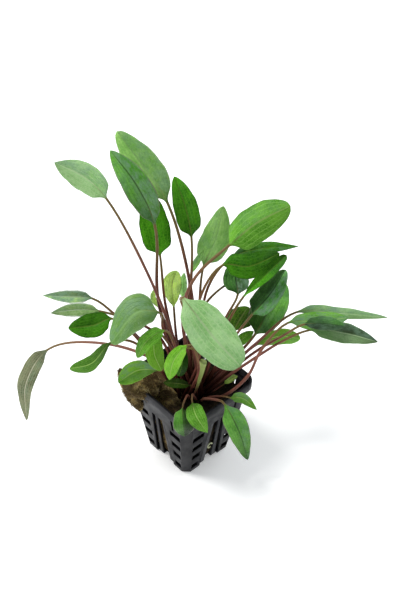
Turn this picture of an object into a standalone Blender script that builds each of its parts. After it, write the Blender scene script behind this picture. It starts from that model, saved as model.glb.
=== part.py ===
# Potted cryptocoryne: a water plant rooted in rock wool in a small square net pot.
# Metres, +Z up, origin at the middle of the pot's base, pot sides parallel to X and Y.

import math

import bmesh
import bpy
from mathutils import Matrix, Vector, noise

MM = 0.001

# Pot
POT_HEIGHT = 54 * MM
BASE_HALF = 17.3 * MM
LIP_HALF = 26 * MM
LIP_DEPTH = 5.2 * MM
LIP_OVERHANG = 1.3 * MM
LIP_CORNER_RADIUS = 6.5 * MM
LIP_WALL = 1.2 * MM
WALL = 1.4 * MM
FLOOR = 1.4 * MM
CORNER_CUT_BASE = 3.5 * MM
CORNER_CUT_TOP = 5 * MM
SHOULDER_Z = POT_HEIGHT - LIP_DEPTH
SHOULDER_HALF = LIP_HALF - LIP_OVERHANG
CORNER_STEPS = 4

# Slots in each of the pot's four walls
LADDER_HEIGHTS = [5 * MM, 14.5 * MM, 23.5 * MM, 33 * MM]
LADDER_SLOT_HEIGHT = 4 * MM
LADDER_INNER_END = 9 * MM
LADDER_EDGE_MARGIN = 0.5 * MM
TOP_SLOT_INNER = 11.4 * MM
TOP_SLOT_WIDTH = 1.6 * MM
TOP_SLOT_FOOT = 37.5 * MM
TOP_SLOT_HEAD = 46.5 * MM
THROUGH = 3 * MM
OPENING_BASE_Z = FLOOR + 0.3 * MM
OPENING_TOP_Z = 38 * MM
OPENING_BASE_HALF = 7.2 * MM
OPENING_TOP_HALF = 5 * MM
RIB_OUTER_BASE = 5.7 * MM
RIB_INNER_BASE = 2.9 * MM
RIB_OUTER_TOP = 3.7 * MM
RIB_INNER_TOP = 1.7 * MM
RIB_FOOT_Z = 0.3 * MM
RIB_TOP_Z = 39.5 * MM
RIB_SETBACK = 0.9 * MM
RIB_BACK = 2.4 * MM
FLOOR_STEP = 1.1 * MM
FLOOR_STEP_HALF = 6.9 * MM
FLOOR_NOTCH_HALF = 2.6 * MM
FLOOR_NOTCH_DEPTH = 3.5 * MM

# Rock wool: a block in the pot, a flap that hangs outside, a bridge over the lip
WOOL_GAP = 0.35 * MM
WOOL_SETBACK = RIB_BACK + WOOL_GAP
WOOL_BASE_Z = FLOOR + WOOL_GAP
WOOL_TOP_Z = 46 * MM
WOOL_UNEVEN = 1.5 * MM
WOOL_LUMP_SIZE = 9 * MM
WOOL_GRID = 12
WOOL_LEVELS = 5
CROWN = Vector((3 * MM, 1 * MM, 0))
CROWN_Z = 43.6 * MM
CROWN_RADIUS = 11 * MM
CROWN_EDGE = 5 * MM
FLAP_CENTRE = Vector((-19 * MM, -26.5 * MM, 47 * MM))
FLAP_RADII = Vector((5.2 * MM, 3.8 * MM, 13.5 * MM))
FLAP_LEAN = math.radians(-42)
BRIDGE_CENTRE = Vector((-15 * MM, -21 * MM, 51.5 * MM))
BRIDGE_RADII = Vector((12 * MM, 9.5 * MM, 6.5 * MM))
BLOB_UNEVEN = 0.12

# Young leaf and root tip
YOUNG_LEAF_FOOT = Vector((6 * MM, -3 * MM, 45 * MM))
YOUNG_LEAF_KNEE = Vector((10 * MM, -4 * MM, 56 * MM))
YOUNG_LEAF_MIDDLE = Vector((12 * MM, -3.5 * MM, 67 * MM))
YOUNG_LEAF_TOP = Vector((13 * MM, -3 * MM, 77 * MM))
YOUNG_LEAF_RADII = [0.7 * MM, 0.8 * MM, 1 * MM, 1.4 * MM, 1.9 * MM]
ROOT_CENTRE = Vector((18 * MM, -0.2 * MM, 13 * MM))
ROOT_CURL_RADIUS = 1.6 * MM
ROOT_RADIUS = 0.45 * MM
ROOT_TURN = math.radians(300)
ROOT_STEPS = 12

# Leaves
FOOT_Z = 45 * MM
PETIOLE_SWELL = 0.2 * MM
PETIOLE_STEP = 14 * MM
PETIOLE_MOST_STEPS = 8
BLADE_STATIONS = [0.1, 0.28, 0.48, 0.68, 0.87]
BLADE_THICKNESS = 0.7 * MM
BLADE_SHOULDER = 0.45
BLADE_CUP = 0.14
SPAN_STEPS = 12


# Each leaf in millimetres and degrees: its foot on the wool, the knees of its petiole,
# then the neck, belly and tip of its blade, the blade's width, how far the blade is
# rolled about its own length, how sharply its outline closes at the base and at the tip,
# how far its widest place sits towards the tip, and the petiole's radius at the neck.
LEAVES = [
    ("leaf_01", (2, 0), [(-14, -14, 118)],
     (-34.5, -24.5, 163), (-46.5, -27.5, 170), (-61, -34.5, 174.5),
     14, -30, (0.45, 0.8), 0.9, 0.7),
    ("leaf_02", (2, 2.5), [(-6, 5, 108)],
     (-25.5, 6, 151.5), (-43.5, 5, 165.5), (-58, 1, 179.5),
     17, -30, (0.95, 0.55), 0.85, 0.8),
    ("leaf_03", (0, -1.5), [(-13, -11, 105)],
     (-19, -8, 148.5), (-28, -11.5, 168.5), (-42, -15.5, 182.5),
     13.5, -50, (0.65, 0.65), 0.9, 0.8),
    ("leaf_04", (-2, 0), [(-18, -2, 95)],
     (-28, 3, 119), (-35, 5, 134), (-41.5, 7, 148.5),
     15.5, -15, (0.5, 0.4), 0.8, 0.7),
    ("leaf_05", (0, 1), [(-3, 2, 107)],
     (-10, 8, 138.5), (-16, 9, 153), (-21.5, 6.5, 169),
     12.5, -30, (0.5, 0.6), 0.75, 0.7),
    ("leaf_06", (-0.5, 3.5), [(-4, 9, 94)],
     (-9.5, 16.5, 116), (-13.5, 28.5, 125), (-18, 37.5, 140),
     16, 10, (0.85, 0.65), 0.75, 0.7),
    ("leaf_07", (4, 1.5), [(1, -7, 105), (6, -3, 130)],
     (11, 13, 143), (13.5, 29, 150.5), (18, 47.5, 154.5),
     18.5, 60, (0.3, 0.5), 0.85, 0.8),
    ("leaf_08", (1.5, 5), [(-1, 12, 110)],
     (3.5, 22.5, 126), (7.5, 39.5, 126), (17.5, 58.5, 124),
     7, 35, (0.7, 0.9), 0.8, 0.7),
    ("leaf_09", (4.5, 4), [(3, 3, 111)],
     (4, 16.5, 125), (12, 27.5, 123.5), (18.5, 42.5, 128),
     13, 45, (0.3, 0.6), 0.85, 0.7),
    ("leaf_10", (6, 0.5), [(12, 11, 87)],
     (19, 17.5, 113.5), (23, 27, 124), (26, 39, 133),
     6.5, 40, (0.6, 0.4), 1.4, 0.7),
    ("leaf_11", (3.5, 6), [(8, 17, 92)],
     (7.5, 25.5, 103), (0.5, 30.5, 108), (-3, 36, 114),
     13.5, 0, (0.55, 0.6), 0.8, 0.7),
    ("leaf_12", (-2.5, 6), [(-5, 11, 91)],
     (-3, 25, 102), (-2, 33, 101), (1, 40, 99),
     4.5, 40, (0.8, 0.8), 0.9, 0.7),
    ("leaf_13", (5.5, 7), [(11, 15, 72)],
     (18.5, 25.5, 96.5), (21, 36, 107), (20, 47, 116),
     13, 20, (0.45, 0.5), 0.7, 0.7),
    ("leaf_14", (4, 10.5), [(9, 25, 59)],
     (13, 35.5, 72.5), (10, 49.5, 82.5), (10, 61, 93),
     19.5, 15, (0.4, 0.65), 0.95, 0.8),
    ("leaf_15", (2.5, 8), [(6, 17, 61)],
     (3, 29, 72), (0.5, 35.5, 74), (-2, 45, 77.5),
     15.5, 0, (0.8, 0.6), 0.9, 0.7),
    ("leaf_16", (-0.5, 7), [(5, 20, 53)],
     (6, 28, 63), (7, 33, 67), (8, 40, 69),
     6, 35, (0.7, 0.7), 0.9, 0.5),
    ("leaf_17", (8, 6), [(14, 21, 62)],
     (18.5, 31, 71.5), (22, 44.5, 72), (26.5, 58.5, 65),
     9, 65, (0.5, 0.55), 1.1, 0.7),
    ("leaf_18", (6.5, 3), [(20, 29, 75)],
     (30.5, 46.5, 94), (45.5, 63.5, 93.5), (62.5, 84, 90),
     7, 30, (0.75, 0.7), 0.65, 0.7),
    ("leaf_19", (11, 2.5), [(21, 4, 52), (30, 13, 68), (32.5, 19.5, 85.5)],
     (36.5, 33, 98.5), (47, 44.5, 100), (57.5, 55, 103.5),
     10, 30, (0.8, 0.65), 0.95, 0.7),
    ("leaf_20", (6.5, 9.5), [(20.5, 28, 69.5), (36, 31.5, 90.5)],
     (45.5, 35, 102.5), (52, 42.5, 103), (60, 49, 103),
     8, 25, (0.5, 0.55), 1.0, 0.7),
    ("leaf_21", (9, 3.5), [(20, 18, 64)],
     (43, 43, 92), (58, 54, 93.5), (71, 65, 90),
     11.5, 30, (0.8, 0.75), 0.8, 0.7),
    ("leaf_22", (9, 1), [(6, -3, 81), (16, -19, 123)],
     (23.5, -27.5, 140), (40.5, -24.5, 127), (54.5, -20, 115.5),
     20, 30, (0.5, 0.4), 1.05, 0.9),
    ("leaf_23", (2.5, -2.5), [(-6, -14, 93)],
     (1.5, -23, 114.5), (-3.5, -32.5, 117), (-8.5, -45.5, 101),
     19, -20, (0.95, 0.5), 0.7, 0.7),
    ("leaf_24", (-3, -2.5), [(-17, -14, 71), (-32, -26, 94)],
     (-39, -33, 103), (-50, -40.5, 101.5), (-61, -49, 100),
     7, -45, (0.7, 0.85), 0.75, 0.7),
    ("leaf_25", (-2, -4.5), [(-8, -12, 81), (-12, -19, 93)],
     (-29.5, -36, 102.5), (-38.5, -45, 102.5), (-47, -54, 100),
     7.5, -35, (0.7, 0.8), 0.85, 0.7),
    ("leaf_26", (0.5, -4), [(-10, -22, 82)],
     (-20, -35.5, 103.5), (-25, -43.5, 100.5), (-32, -54, 100),
     12.5, -45, (0.6, 0.65), 0.9, 0.7),
    ("leaf_27", (4, -1), [(3, -13, 85)],
     (6, -24, 106.5), (5.5, -34.5, 105.5), (4, -39.5, 96.5),
     7.5, -35, (0.55, 0.55), 0.8, 0.7),
    ("leaf_28", (2, -6), [(1, -11, 77)],
     (-1.5, -22.5, 99), (1.5, -26.5, 90), (6.5, -26, 80.5),
     9.5, 0, (0.6, 0.55), 0.95, 0.7),
    ("leaf_29", (4, -4.5), [(20, -13, 86), (17, -15, 99)],
     (15.5, -17, 99), (16, -26, 95), (16.5, -29.5, 84),
     8, -40, (0.55, 0.75), 1.0, 0.7),
    ("leaf_30", (1, -8.5), [(-1, -11, 64)],
     (-2.5, -20.5, 70.5), (-10, -27.5, 69.5), (-15.5, -37, 62.5),
     11, -40, (0.9, 0.55), 1.15, 0.7),
    ("leaf_31", (3.5, -8.5), [(9, -3, 73), (16, -11, 92)],
     (11, -13.5, 91.5), (13, -18, 83.5), (11.5, -18.5, 75.5),
     6, -30, (0.6, 0.45), 1.05, 0.6),
    ("leaf_32", (8, -1), [(7, -2, 52)],
     (8, -7, 58), (4.5, -12.5, 60.5), (-3.5, -16, 57.5),
     5.5, -30, (0.7, 0.7), 1.0, 0.5),
    ("leaf_33", (6.5, -5.5), [(13, -14, 59)],
     (19.5, -23, 61.5), (26.5, -28.5, 60.5), (26, -27, 48),
     10.5, 10, (0.75, 0.7), 0.9, 0.5),
    ("leaf_34", (9.5, -3.5), [(17, -14, 63)],
     (22.5, -19, 65), (32.5, -25, 66.5), (38.5, -23, 58.5),
     9.5, 20, (0.75, 0.85), 0.9, 0.5),
    ("leaf_35", (11.5, -2.5), [(16, -4, 52), (24, -2, 56)],
     (30, -3.5, 59.5), (38, 0, 44), (41, 7, 15.5),
     12, 65, (0.85, 0.65), 0.6, 0.7),
    ("leaf_36", (11.5, 0), [(16, 1, 50), (25, 3, 56)],
     (27, 4, 56), (32, 8, 57), (38, 14, 48.5),
     5.5, 45, (0.75, 0.8), 0.65, 0.5),
    ("leaf_37", (10.5, 6.5), [(11, 9, 46)],
     (13, 14, 49), (13, 18, 50), (15, 22, 51),
     4.5, 25, (0.7, 0.7), 0.9, 0.45),
    ("leaf_38", (-5, 1), [(-12, 1, 71)],
     (-17, 3, 91), (-23.5, 7.5, 100.5), (-25, 12, 106.5),
     10, 5, (0.6, 0.55), 1.35, 0.7),
    ("leaf_39", (-4.5, 4), [(-12, 6, 73)],
     (-18, 10.5, 92.5), (-21, 13, 99), (-22.5, 15, 105),
     4.5, -5, (0.6, 0.6), 0.9, 0.6),
    ("leaf_40", (-5.5, -1.5), [(-10, -6, 82)],
     (-16.5, -8, 97.5), (-21.5, -7.5, 101), (-23.5, -4.5, 104),
     3, -20, (0.55, 0.5), 0.95, 0.6),
    ("leaf_41", (-2.5, 2.5), [(-9, 6, 101)],
     (-11, 9, 114), (-12, 14, 119), (-12, 19, 125),
     3.5, 25, (0.8, 0.8), 0.9, 0.6),
    ("leaf_42", (-4.5, -5), [(-12, -18, 71), (-34, -34, 76)],
     (-58, -51, 65), (-61.5, -65.5, 45.5), (-57, -71, 23),
     10.5, -15, (0.6, 0.65), 0.8, 0.7),
    ("leaf_43", (-1, -7), [(-15, -27, 86)],
     (-20, -36.5, 88), (-25.5, -46, 75), (-34.5, -54, 69.5),
     8.5, -30, (0.5, 0.6), 1.15, 0.7),
]


def clearScene():
    for item in list(bpy.data.objects):
        bpy.data.objects.remove(item, do_unlink=True)


def makeMaterial(name, colour, roughness, metallic=0.0):
    material = bpy.data.materials.new(name)
    material.use_nodes = True
    shader = material.node_tree.nodes["Principled BSDF"]
    shader.inputs["Base Color"].default_value = (*colour, 1)
    shader.inputs["Roughness"].default_value = roughness
    shader.inputs["Metallic"].default_value = metallic
    return material


def addObject(name, bm, material=None):
    mesh = bpy.data.meshes.new(name)
    bmesh.ops.recalc_face_normals(bm, faces=bm.faces)
    bm.to_mesh(mesh)
    bm.free()
    item = bpy.data.objects.new(name, mesh)
    bpy.context.scene.collection.objects.link(item)
    if material:
        mesh.materials.append(material)
    return item


def joinRings(bm, rings, capStart=True, capEnd=True):
    for lower, upper in zip(rings, rings[1:]):
        for i in range(len(lower)):
            j = (i + 1) % len(lower)
            bm.faces.new((lower[i], lower[j], upper[j], upper[i]))
    if capStart:
        bm.faces.new(list(reversed(rings[0])))
    if capEnd:
        bm.faces.new(rings[-1])


def cut(target, cutter, operation="DIFFERENCE"):
    cutter.hide_render = True
    cutter.display_type = "WIRE"
    modifier = target.modifiers.new(cutter.name, "BOOLEAN")
    modifier.operation = operation
    modifier.solver = "EXACT"
    modifier.object = cutter


# The pot's wall leans outwards: its half width grows with height.
def potHalf(z):
    return BASE_HALF + (SHOULDER_HALF - BASE_HALF) * z / SHOULDER_Z


def cornerCut(z):
    return CORNER_CUT_BASE + (CORNER_CUT_TOP - CORNER_CUT_BASE) * z / SHOULDER_Z


def cutSquare(half, corner, z):
    points = []
    for quarter in range(4):
        start = Vector((half, half - corner, z))
        end = Vector((half - corner, half, z))
        turn = Matrix.Rotation(quarter * math.pi / 2, 4, "Z")
        for step in range(CORNER_STEPS + 1):
            points.append(turn @ start.lerp(end, step / CORNER_STEPS))
    return points


def roundSquare(half, radius, z):
    points = []
    for quarter in range(4):
        turn = Matrix.Rotation(quarter * math.pi / 2, 4, "Z")
        for step in range(CORNER_STEPS + 1):
            angle = step / CORNER_STEPS * math.pi / 2
            x = half - radius + radius * math.cos(angle)
            y = half - radius + radius * math.sin(angle)
            points.append(turn @ Vector((x, y, z)))
    return points


# The pot's skin, or with an allowance the same shape grown on every side.
def makePotShell(name, allowance=0.0, material=None):
    grown = allowance
    lipInner = LIP_HALF - LIP_WALL
    lipInnerRadius = LIP_CORNER_RADIUS - LIP_WALL
    shoulderInner = SHOULDER_HALF - WALL
    innerTop = SHOULDER_Z + WALL + grown
    outlines = [
        cutSquare(potHalf(0) + grown, cornerCut(0), -grown),
        cutSquare(potHalf(SHOULDER_Z) + grown, cornerCut(SHOULDER_Z), SHOULDER_Z - grown),
        roundSquare(LIP_HALF + grown, LIP_CORNER_RADIUS + grown, SHOULDER_Z - grown),
        roundSquare(LIP_HALF + grown, LIP_CORNER_RADIUS + grown, POT_HEIGHT + grown),
        roundSquare(lipInner - grown, lipInnerRadius - grown, POT_HEIGHT + grown),
        roundSquare(lipInner - grown, lipInnerRadius - grown, innerTop),
        cutSquare(shoulderInner - grown, cornerCut(SHOULDER_Z), innerTop),
        cutSquare(potHalf(FLOOR) - WALL - grown, cornerCut(FLOOR), FLOOR + grown),
    ]
    bm = bmesh.new()
    rings = [[bm.verts.new(point) for point in outline] for outline in outlines]
    joinRings(bm, rings)
    return addObject(name, bm, material)


# A prism on one wall: corners are (sideways, height), setbacks run in from the wall's face.
def addWallPrism(bm, corners, outer, inner, turns):
    turn = Matrix.Rotation(turns * math.pi / 2, 4, "Z")
    rings = []
    for setback in (outer, inner):
        ring = []
        for across, z in corners:
            ring.append(bm.verts.new(turn @ Vector((potHalf(z) - setback, across, z))))
        rings.append(ring)
    joinRings(bm, rings)


def slotCorners(inner, outer, low, high, side):
    return [(side * inner, low), (side * outer, low), (side * outer, high), (side * inner, high)]


def makeSlotCutter():
    bm = bmesh.new()
    for turns in range(4):
        for side in (-1, 1):
            for z in LADDER_HEIGHTS:
                low = z - LADDER_SLOT_HEIGHT / 2
                high = z + LADDER_SLOT_HEIGHT / 2
                end = potHalf(z) - cornerCut(z) - LADDER_EDGE_MARGIN
                corners = slotCorners(LADDER_INNER_END, end, low, high, side)
                addWallPrism(bm, corners, -THROUGH, THROUGH, turns)
            outer = TOP_SLOT_INNER + TOP_SLOT_WIDTH
            corners = slotCorners(TOP_SLOT_INNER, outer, TOP_SLOT_FOOT, TOP_SLOT_HEAD, side)
            addWallPrism(bm, corners, -THROUGH, THROUGH, turns)
        opening = [
            (-OPENING_BASE_HALF, OPENING_BASE_Z),
            (OPENING_BASE_HALF, OPENING_BASE_Z),
            (OPENING_TOP_HALF, OPENING_TOP_Z),
            (-OPENING_TOP_HALF, OPENING_TOP_Z),
        ]
        addWallPrism(bm, opening, -THROUGH, THROUGH, turns)
    return addObject("slot_cutter", bm)


# The floor steps back below each opening, by a shallow step or a deep notch.
def makeFloorCutter(name, half, depth, top):
    bm = bmesh.new()
    for turns in range(4):
        corners = [(-half, -THROUGH), (half, -THROUGH), (half, top), (-half, top)]
        addWallPrism(bm, corners, -THROUGH, depth, turns)
    return addObject(name, bm)


def makeRibs():
    bm = bmesh.new()
    for turns in range(4):
        for side in (-1, 1):
            corners = [
                (side * RIB_INNER_BASE, RIB_FOOT_Z),
                (side * RIB_OUTER_BASE, RIB_FOOT_Z),
                (side * RIB_OUTER_TOP, RIB_TOP_Z),
                (side * RIB_INNER_TOP, RIB_TOP_Z),
            ]
            addWallPrism(bm, corners, RIB_SETBACK, RIB_BACK, turns)
    return addObject("rib_guide", bm)


def makePot():
    plastic = makeMaterial("black_plastic", (0.025, 0.025, 0.03), 0.45)
    pot = makePotShell("pot", material=plastic)
    cut(pot, makeSlotCutter())
    cut(pot, makeFloorCutter("step_cutter", FLOOR_STEP_HALF, FLOOR_STEP, OPENING_BASE_Z + WALL))
    cut(pot, makeFloorCutter("notch_cutter", FLOOR_NOTCH_HALF, FLOOR_NOTCH_DEPTH, OPENING_BASE_Z + WALL))
    cut(pot, makeRibs(), "UNION")


# A point of the wool's outline square, kept inside the pot's chamfered corners.
def woolPoint(u, v, z):
    half = potHalf(z) - WOOL_SETBACK
    limit = 2 * half - cornerCut(z)
    x, y = u * half, v * half
    reach = abs(x) + abs(y)
    if reach > limit:
        x, y = x * limit / reach, y * limit / reach
    return Vector((x, y, z))


def woolSurface(u, v):
    point = woolPoint(u, v, WOOL_TOP_Z)
    rise = noise.noise(point / WOOL_LUMP_SIZE) * WOOL_UNEVEN
    away = (Vector((point.x, point.y, 0)) - CROWN).length - CROWN_RADIUS
    blend = min(max(away / CROWN_EDGE, 0), 1)
    z = CROWN_Z + (WOOL_TOP_Z + rise - CROWN_Z) * blend
    return Vector((point.x, point.y, z))


def makeWoolBlock(material):
    bm = bmesh.new()
    count = WOOL_GRID
    top = {}
    for i in range(count + 1):
        for j in range(count + 1):
            u = 2 * i / count - 1
            v = 2 * j / count - 1
            top[i, j] = bm.verts.new(woolSurface(u, v))
    for i in range(count):
        for j in range(count):
            bm.faces.new((top[i, j], top[i + 1, j], top[i + 1, j + 1], top[i, j + 1]))
    border = [(i, 0) for i in range(count)]
    border += [(count, j) for j in range(count)]
    border += [(count - i, count) for i in range(count)]
    border += [(0, count - j) for j in range(count)]
    rings = []
    for level in range(WOOL_LEVELS):
        z = WOOL_BASE_Z + (WOOL_TOP_Z - 2 * WOOL_UNEVEN - WOOL_BASE_Z) * level / WOOL_LEVELS
        ring = []
        for i, j in border:
            ring.append(bm.verts.new(woolPoint(2 * i / count - 1, 2 * j / count - 1, z)))
        rings.append(ring)
    rings.append([top[key] for key in border])
    joinRings(bm, rings, capEnd=False)
    return addObject("rock_wool", bm, material)


def makeBlob(name, centre, radii, lean):
    bm = bmesh.new()
    bmesh.ops.create_icosphere(bm, subdivisions=3, radius=1)
    turn = Matrix.Rotation(lean, 4, "Y")
    for vertex in bm.verts:
        rough = 1 + BLOB_UNEVEN * noise.noise(vertex.co * 2 + centre / MM)
        vertex.co = centre + turn @ (vertex.co * rough * radii)
    return addObject(name, bm)


def makeRockWool():
    wool = makeWoolBlock(makeMaterial("rock_wool", (0.16, 0.10, 0.035), 0.95))
    cut(wool, makeBlob("bridge_guide", BRIDGE_CENTRE, BRIDGE_RADII, 0), "UNION")
    cut(wool, makeBlob("flap_guide", FLAP_CENTRE, FLAP_RADII, FLAP_LEAN), "UNION")
    cut(wool, makePotShell("pot_clearance", WOOL_GAP))


# A smooth curve through the points, with closer points bending it more.
def smoothCurve(points):
    ends = [points[0] * 2 - points[1], *points, points[-1] * 2 - points[-2]]
    curve = []
    for i in range(len(points) - 1):
        p = ends[i:i + 4]
        t = [0.0]
        for a, b in zip(p, p[1:]):
            t.append(t[-1] + math.sqrt((b - a).length))
        for step in range(SPAN_STEPS):
            s = t[1] + (t[2] - t[1]) * step / SPAN_STEPS
            first = [p[k].lerp(p[k + 1], (s - t[k]) / (t[k + 1] - t[k])) for k in range(3)]
            second = [first[k].lerp(first[k + 1], (s - t[k]) / (t[k + 2] - t[k])) for k in range(2)]
            curve.append(second[0].lerp(second[1], (s - t[1]) / (t[2] - t[1])))
    curve.append(points[-1])
    return curve


def curveLength(curve):
    return sum((b - a).length for a, b in zip(curve, curve[1:]))


def pointAlong(curve, share):
    left = curveLength(curve) * share
    for a, b in zip(curve, curve[1:]):
        step = (b - a).length
        if left <= step:
            return a.lerp(b, left / step)
        left -= step
    return curve[-1]


def directionAlong(curve, share):
    nudge = 0.02
    ahead = pointAlong(curve, min(share + nudge, 1))
    behind = pointAlong(curve, max(share - nudge, 0))
    return (ahead - behind).normalized()


def squareTo(vector, direction):
    return (vector - direction * vector.dot(direction)).normalized()


def millimetres(point):
    return Vector(point) * MM


def bladeSide(neck, tip, roll):
    axis = (tip - neck).normalized()
    level = Vector((axis.y, -axis.x, 0)).normalized()
    return Matrix.Rotation(math.radians(roll), 4, axis) @ level


def bladeHalfWidth(share, width, sharpness, skew):
    atBase, atTip = sharpness
    return width / 2 * math.sin(math.pi * share ** skew) ** (atBase + (atTip - atBase) * share)


def petioleRing(bm, centre, side, normal, radius):
    ring = []
    for corner in range(6):
        angle = math.pi - corner * math.pi / 3
        ring.append(bm.verts.new(centre + (side * math.cos(angle) + normal * math.sin(angle)) * radius))
    return ring


# Two sharp edges, two points on the upper face and two below, folded up from the midrib.
def bladeRing(bm, centre, side, normal, half):
    thick = BLADE_THICKNESS / 2
    shoulder = half * BLADE_SHOULDER
    edge = half * BLADE_CUP
    fold = shoulder * BLADE_CUP
    outline = [
        (-half, edge),
        (-shoulder, fold + thick),
        (shoulder, fold + thick),
        (half, edge),
        (shoulder, fold - thick),
        (-shoulder, fold - thick),
    ]
    return [bm.verts.new(centre + side * x + normal * z) for x, z in outline]


def makeLeaf(row, material):
    name, foot, knees, neck, belly, tip, width, roll, sharpness, skew, stalk = row
    points = [Vector((foot[0] * MM, foot[1] * MM, FOOT_Z))]
    points += [millimetres(point) for point in [*knees, neck, belly, tip]]
    curve = smoothCurve(points)
    neckIndex = (len(knees) + 1) * SPAN_STEPS
    petiole = curve[:neckIndex + 1]
    blade = curve[neckIndex:]
    bladeAcross = bladeSide(points[-3], points[-1], roll)

    steps = min(max(round(curveLength(petiole) / PETIOLE_STEP), 3), PETIOLE_MOST_STEPS)
    stations = []
    side = squareTo(bladeAcross, directionAlong(petiole, 1))
    for step in range(steps, -1, -1):
        share = step / steps
        side = squareTo(side, directionAlong(petiole, share))
        stations.insert(0, (share, side))
    bm = bmesh.new()
    rings = []
    for share, side in stations:
        radius = stalk * MM + PETIOLE_SWELL * (1 - share)
        normal = side.cross(directionAlong(petiole, share))
        rings.append(petioleRing(bm, pointAlong(petiole, share), side, normal, radius))
    for share in BLADE_STATIONS:
        direction = directionAlong(blade, share)
        side = squareTo(bladeAcross, direction)
        half = bladeHalfWidth(share, width * MM, sharpness, skew)
        rings.append(bladeRing(bm, pointAlong(blade, share), side, side.cross(direction), half))
    joinRings(bm, rings, capEnd=False)
    point = bm.verts.new(points[-1])
    for i in range(6):
        bm.faces.new((rings[-1][i], rings[-1][(i + 1) % 6], point))
    return addObject(name, bm, material)


def makeLeaves():
    green = makeMaterial("leaf_green", (0.06, 0.17, 0.03), 0.4)
    for row in LEAVES:
        makeLeaf(row, green)


# The rolled leaf is a narrow trumpet; the root end is a curl of even thickness.
def makeTube(name, centres, radii, material):
    bm = bmesh.new()
    rings = []
    side = Vector((1, 0, 0))
    for i, centre in enumerate(centres):
        ahead = centres[min(i + 1, len(centres) - 1)]
        behind = centres[max(i - 1, 0)]
        direction = (ahead - behind).normalized()
        side = squareTo(side, direction)
        rings.append(petioleRing(bm, centre, side, side.cross(direction), radii[i]))
    joinRings(bm, rings)
    return addObject(name, bm, material)


def makeYoungLeaf():
    curve = smoothCurve([YOUNG_LEAF_FOOT, YOUNG_LEAF_KNEE, YOUNG_LEAF_MIDDLE, YOUNG_LEAF_TOP])
    last = len(YOUNG_LEAF_RADII) - 1
    centres = [pointAlong(curve, i / last) for i in range(last + 1)]
    makeTube("young_leaf", centres, YOUNG_LEAF_RADII, makeMaterial("pale_leaf", (0.40, 0.42, 0.16), 0.5))


def makeRootTip():
    centres = []
    for step in range(ROOT_STEPS + 1):
        angle = ROOT_TURN * step / ROOT_STEPS
        curl = Vector((0, math.cos(angle), math.sin(angle))) * ROOT_CURL_RADIUS
        centres.append(ROOT_CENTRE + curl)
    radii = [ROOT_RADIUS] * len(centres)
    makeTube("root_tip", centres, radii, makeMaterial("pale_root", (0.55, 0.58, 0.35), 0.6))


if __name__ == "__main__":
    clearScene()
    makePot()
    makeRockWool()
    makeLeaves()
    makeYoungLeaf()
    makeRootTip()
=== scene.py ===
import math
import random
import bpy
import bmesh
import numpy as np
from mathutils import Matrix, Vector, noise


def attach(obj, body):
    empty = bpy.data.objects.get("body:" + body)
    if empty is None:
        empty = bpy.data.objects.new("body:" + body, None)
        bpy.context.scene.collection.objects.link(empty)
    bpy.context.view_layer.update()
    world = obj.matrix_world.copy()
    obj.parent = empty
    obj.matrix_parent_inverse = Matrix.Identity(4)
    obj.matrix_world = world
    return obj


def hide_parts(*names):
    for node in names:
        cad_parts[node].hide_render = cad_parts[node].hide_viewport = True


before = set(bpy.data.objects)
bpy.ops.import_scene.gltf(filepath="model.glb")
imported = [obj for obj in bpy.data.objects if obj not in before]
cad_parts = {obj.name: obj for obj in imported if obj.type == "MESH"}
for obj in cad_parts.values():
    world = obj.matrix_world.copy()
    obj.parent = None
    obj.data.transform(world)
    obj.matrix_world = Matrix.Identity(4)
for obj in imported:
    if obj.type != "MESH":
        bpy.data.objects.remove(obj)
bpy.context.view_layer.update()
mm = 0.001
print("frame loaded")


# node helpers
def addNode(tree, kind, **settings):
    node = tree.nodes.new(kind)
    for key, value in settings.items():
        setattr(node, key, value)
    return node


def plug(tree, value, socket):
    if isinstance(value, bpy.types.NodeSocket):
        tree.links.new(value, socket)
    elif value is not None:
        socket.default_value = value


def mathNode(tree, operation, a, b=None, c=None, clamp=False):
    node = addNode(tree, "ShaderNodeMath", operation=operation, use_clamp=clamp)
    for value, socket in zip((a, b, c), node.inputs):
        plug(tree, value, socket)
    return node.outputs[0]


def rangeNode(tree, value, low, high, outLow=0.0, outHigh=1.0, smooth=True):
    node = addNode(tree, "ShaderNodeMapRange", interpolation_type="SMOOTHSTEP" if smooth else "LINEAR")
    for given, socket in zip((value, low, high, outLow, outHigh), node.inputs):
        plug(tree, given, socket)
    return node.outputs[0]


def mixNode(tree, share, a, b, blend="MIX"):
    node = addNode(tree, "ShaderNodeMix", data_type="RGBA", blend_type=blend)
    plug(tree, share, node.inputs[0])
    plug(tree, a, node.inputs[6])
    plug(tree, b, node.inputs[7])
    return node.outputs[2]


def attribute(tree, name):
    return addNode(tree, "ShaderNodeAttribute", attribute_name=name).outputs["Fac"]


def noiseNode(tree, place, scale, detail=3.0, rough=0.55, stretch=None):
    if stretch:
        mapping = addNode(tree, "ShaderNodeMapping")
        plug(tree, place, mapping.inputs[0])
        mapping.inputs["Scale"].default_value = stretch
        place = mapping.outputs[0]
    node = addNode(tree, "ShaderNodeTexNoise")
    plug(tree, place, node.inputs["Vector"])
    node.inputs["Scale"].default_value = scale
    node.inputs["Detail"].default_value = detail
    node.inputs["Roughness"].default_value = rough
    return node.outputs[0]


def objectPlace(tree):
    return addNode(tree, "ShaderNodeTexCoord").outputs["Object"]


def bumpNode(tree, height, strength, distance, normal=None):
    node = addNode(tree, "ShaderNodeBump")
    node.inputs["Strength"].default_value = strength
    node.inputs["Distance"].default_value = distance
    plug(tree, height, node.inputs["Height"])
    plug(tree, normal, node.inputs["Normal"])
    return node.outputs[0]


def newMaterial(name):
    material = bpy.data.materials.new(name)
    material.use_nodes = True
    tree = material.node_tree
    return material, tree, tree.nodes["Principled BSDF"]


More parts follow.
